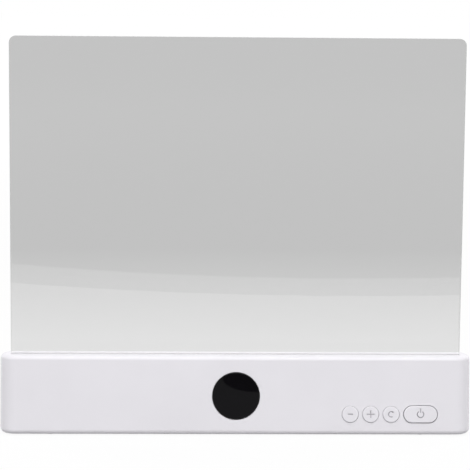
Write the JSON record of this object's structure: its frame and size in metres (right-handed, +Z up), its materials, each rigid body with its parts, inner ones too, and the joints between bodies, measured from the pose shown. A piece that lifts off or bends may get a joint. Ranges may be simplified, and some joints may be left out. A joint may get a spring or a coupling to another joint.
{
  "type": "reading lamp",
  "caption": "Free-standing edge-lit reading lamp: a clear tapered panel stands in a white bar housing with a round black window and a row of push buttons.",
  "frame": {"origin": "on the ground under the middle of the four feet", "axes": "+X to the right along the housing, +Y to the back, +Z up"},
  "size_m": [0.224, 0.024, 0.188],
  "materials": {
    "shell_white": "fine moulded texture, white",
    "button_white": "smooth satin, white",
    "clear_panel": "polished clear with a faint neutral grey tone",
    "black_window": "polished black",
    "holder_white": "matte reflective white",
    "pin_steel": "plain bright steel",
    "strip_board": "white solder mask",
    "emitter": "yellow phosphor in a white body",
    "lead_white": "white insulation",
    "lead_red": "red insulation",
    "lead_black": "black insulation",
    "tape_black": "black adhesive film",
    "display_body": "matte black",
    "circuit_board": "green solder mask",
    "chip_black": "matte black moulding",
    "switch_black": "matte black moulding",
    "plunger_brown": "plain moulding",
    "cell_foil": "dull laminate foil",
    "foam_grey": "grey foam",
    "plug_ivory": "ivory moulding",
    "port_steel": "drawn bright steel",
    "tongue_black": "black moulding",
    "screw_steel": "zinc plated steel",
    "foot_rubber": "matte pale grey silicone"
  },
  "bodies": {
    "housing": {"front_shell": "shell_white", "rear_shell": "shell_white", "light_panel": "clear_panel", "panel_holder": "holder_white", "panel_pins": "pin_steel", "led_board": "strip_board", "leds": "emitter", "led_leads": "lead_white", "window_lens": "black_window", "window_tape": "tape_black", "display_module": "display_body", "main_board": "circuit_board", "board_chips": "chip_black", "switch_bodies": "switch_black", "battery_cell": "cell_foil", "battery_tape": "foam_grey", "red_lead": "lead_red", "black_lead": "lead_black", "battery_plug": "plug_ivory", "battery_socket": "plug_ivory", "usb_shell": "port_steel", "usb_tongue": "tongue_black", "case_screws": "screw_steel", "board_screws": "screw_steel", "feet": "foot_rubber"},
    "minus_key": {"minus_button": "button_white", "minus_plunger": "plunger_brown"},
    "plus_key": {"plus_button": "button_white", "plus_plunger": "plunger_brown"},
    "cycle_key": {"cycle_button": "button_white", "cycle_plunger": "plunger_brown"},
    "power_key": {"power_button": "button_white", "power_plunger": "plunger_brown"}
  },
  "joints": [
    {"name": "minus_press", "type": "slide", "parent": "housing", "child": "minus_key", "axis": [0, 0.9926, -0.1218], "range_m": [0, 0.0005], "stiffness_N_per_m": 1200},
    {"name": "plus_press", "type": "slide", "parent": "housing", "child": "plus_key", "axis": [0, 0.9926, -0.1218], "range_m": [0, 0.0005], "stiffness_N_per_m": 1200},
    {"name": "cycle_press", "type": "slide", "parent": "housing", "child": "cycle_key", "axis": [0, 0.9926, -0.1218], "range_m": [0, 0.0005], "stiffness_N_per_m": 1200},
    {"name": "power_press", "type": "slide", "parent": "housing", "child": "power_key", "axis": [0, 0.9926, -0.1218], "range_m": [0, 0.0005], "stiffness_N_per_m": 1200}
  ]
}
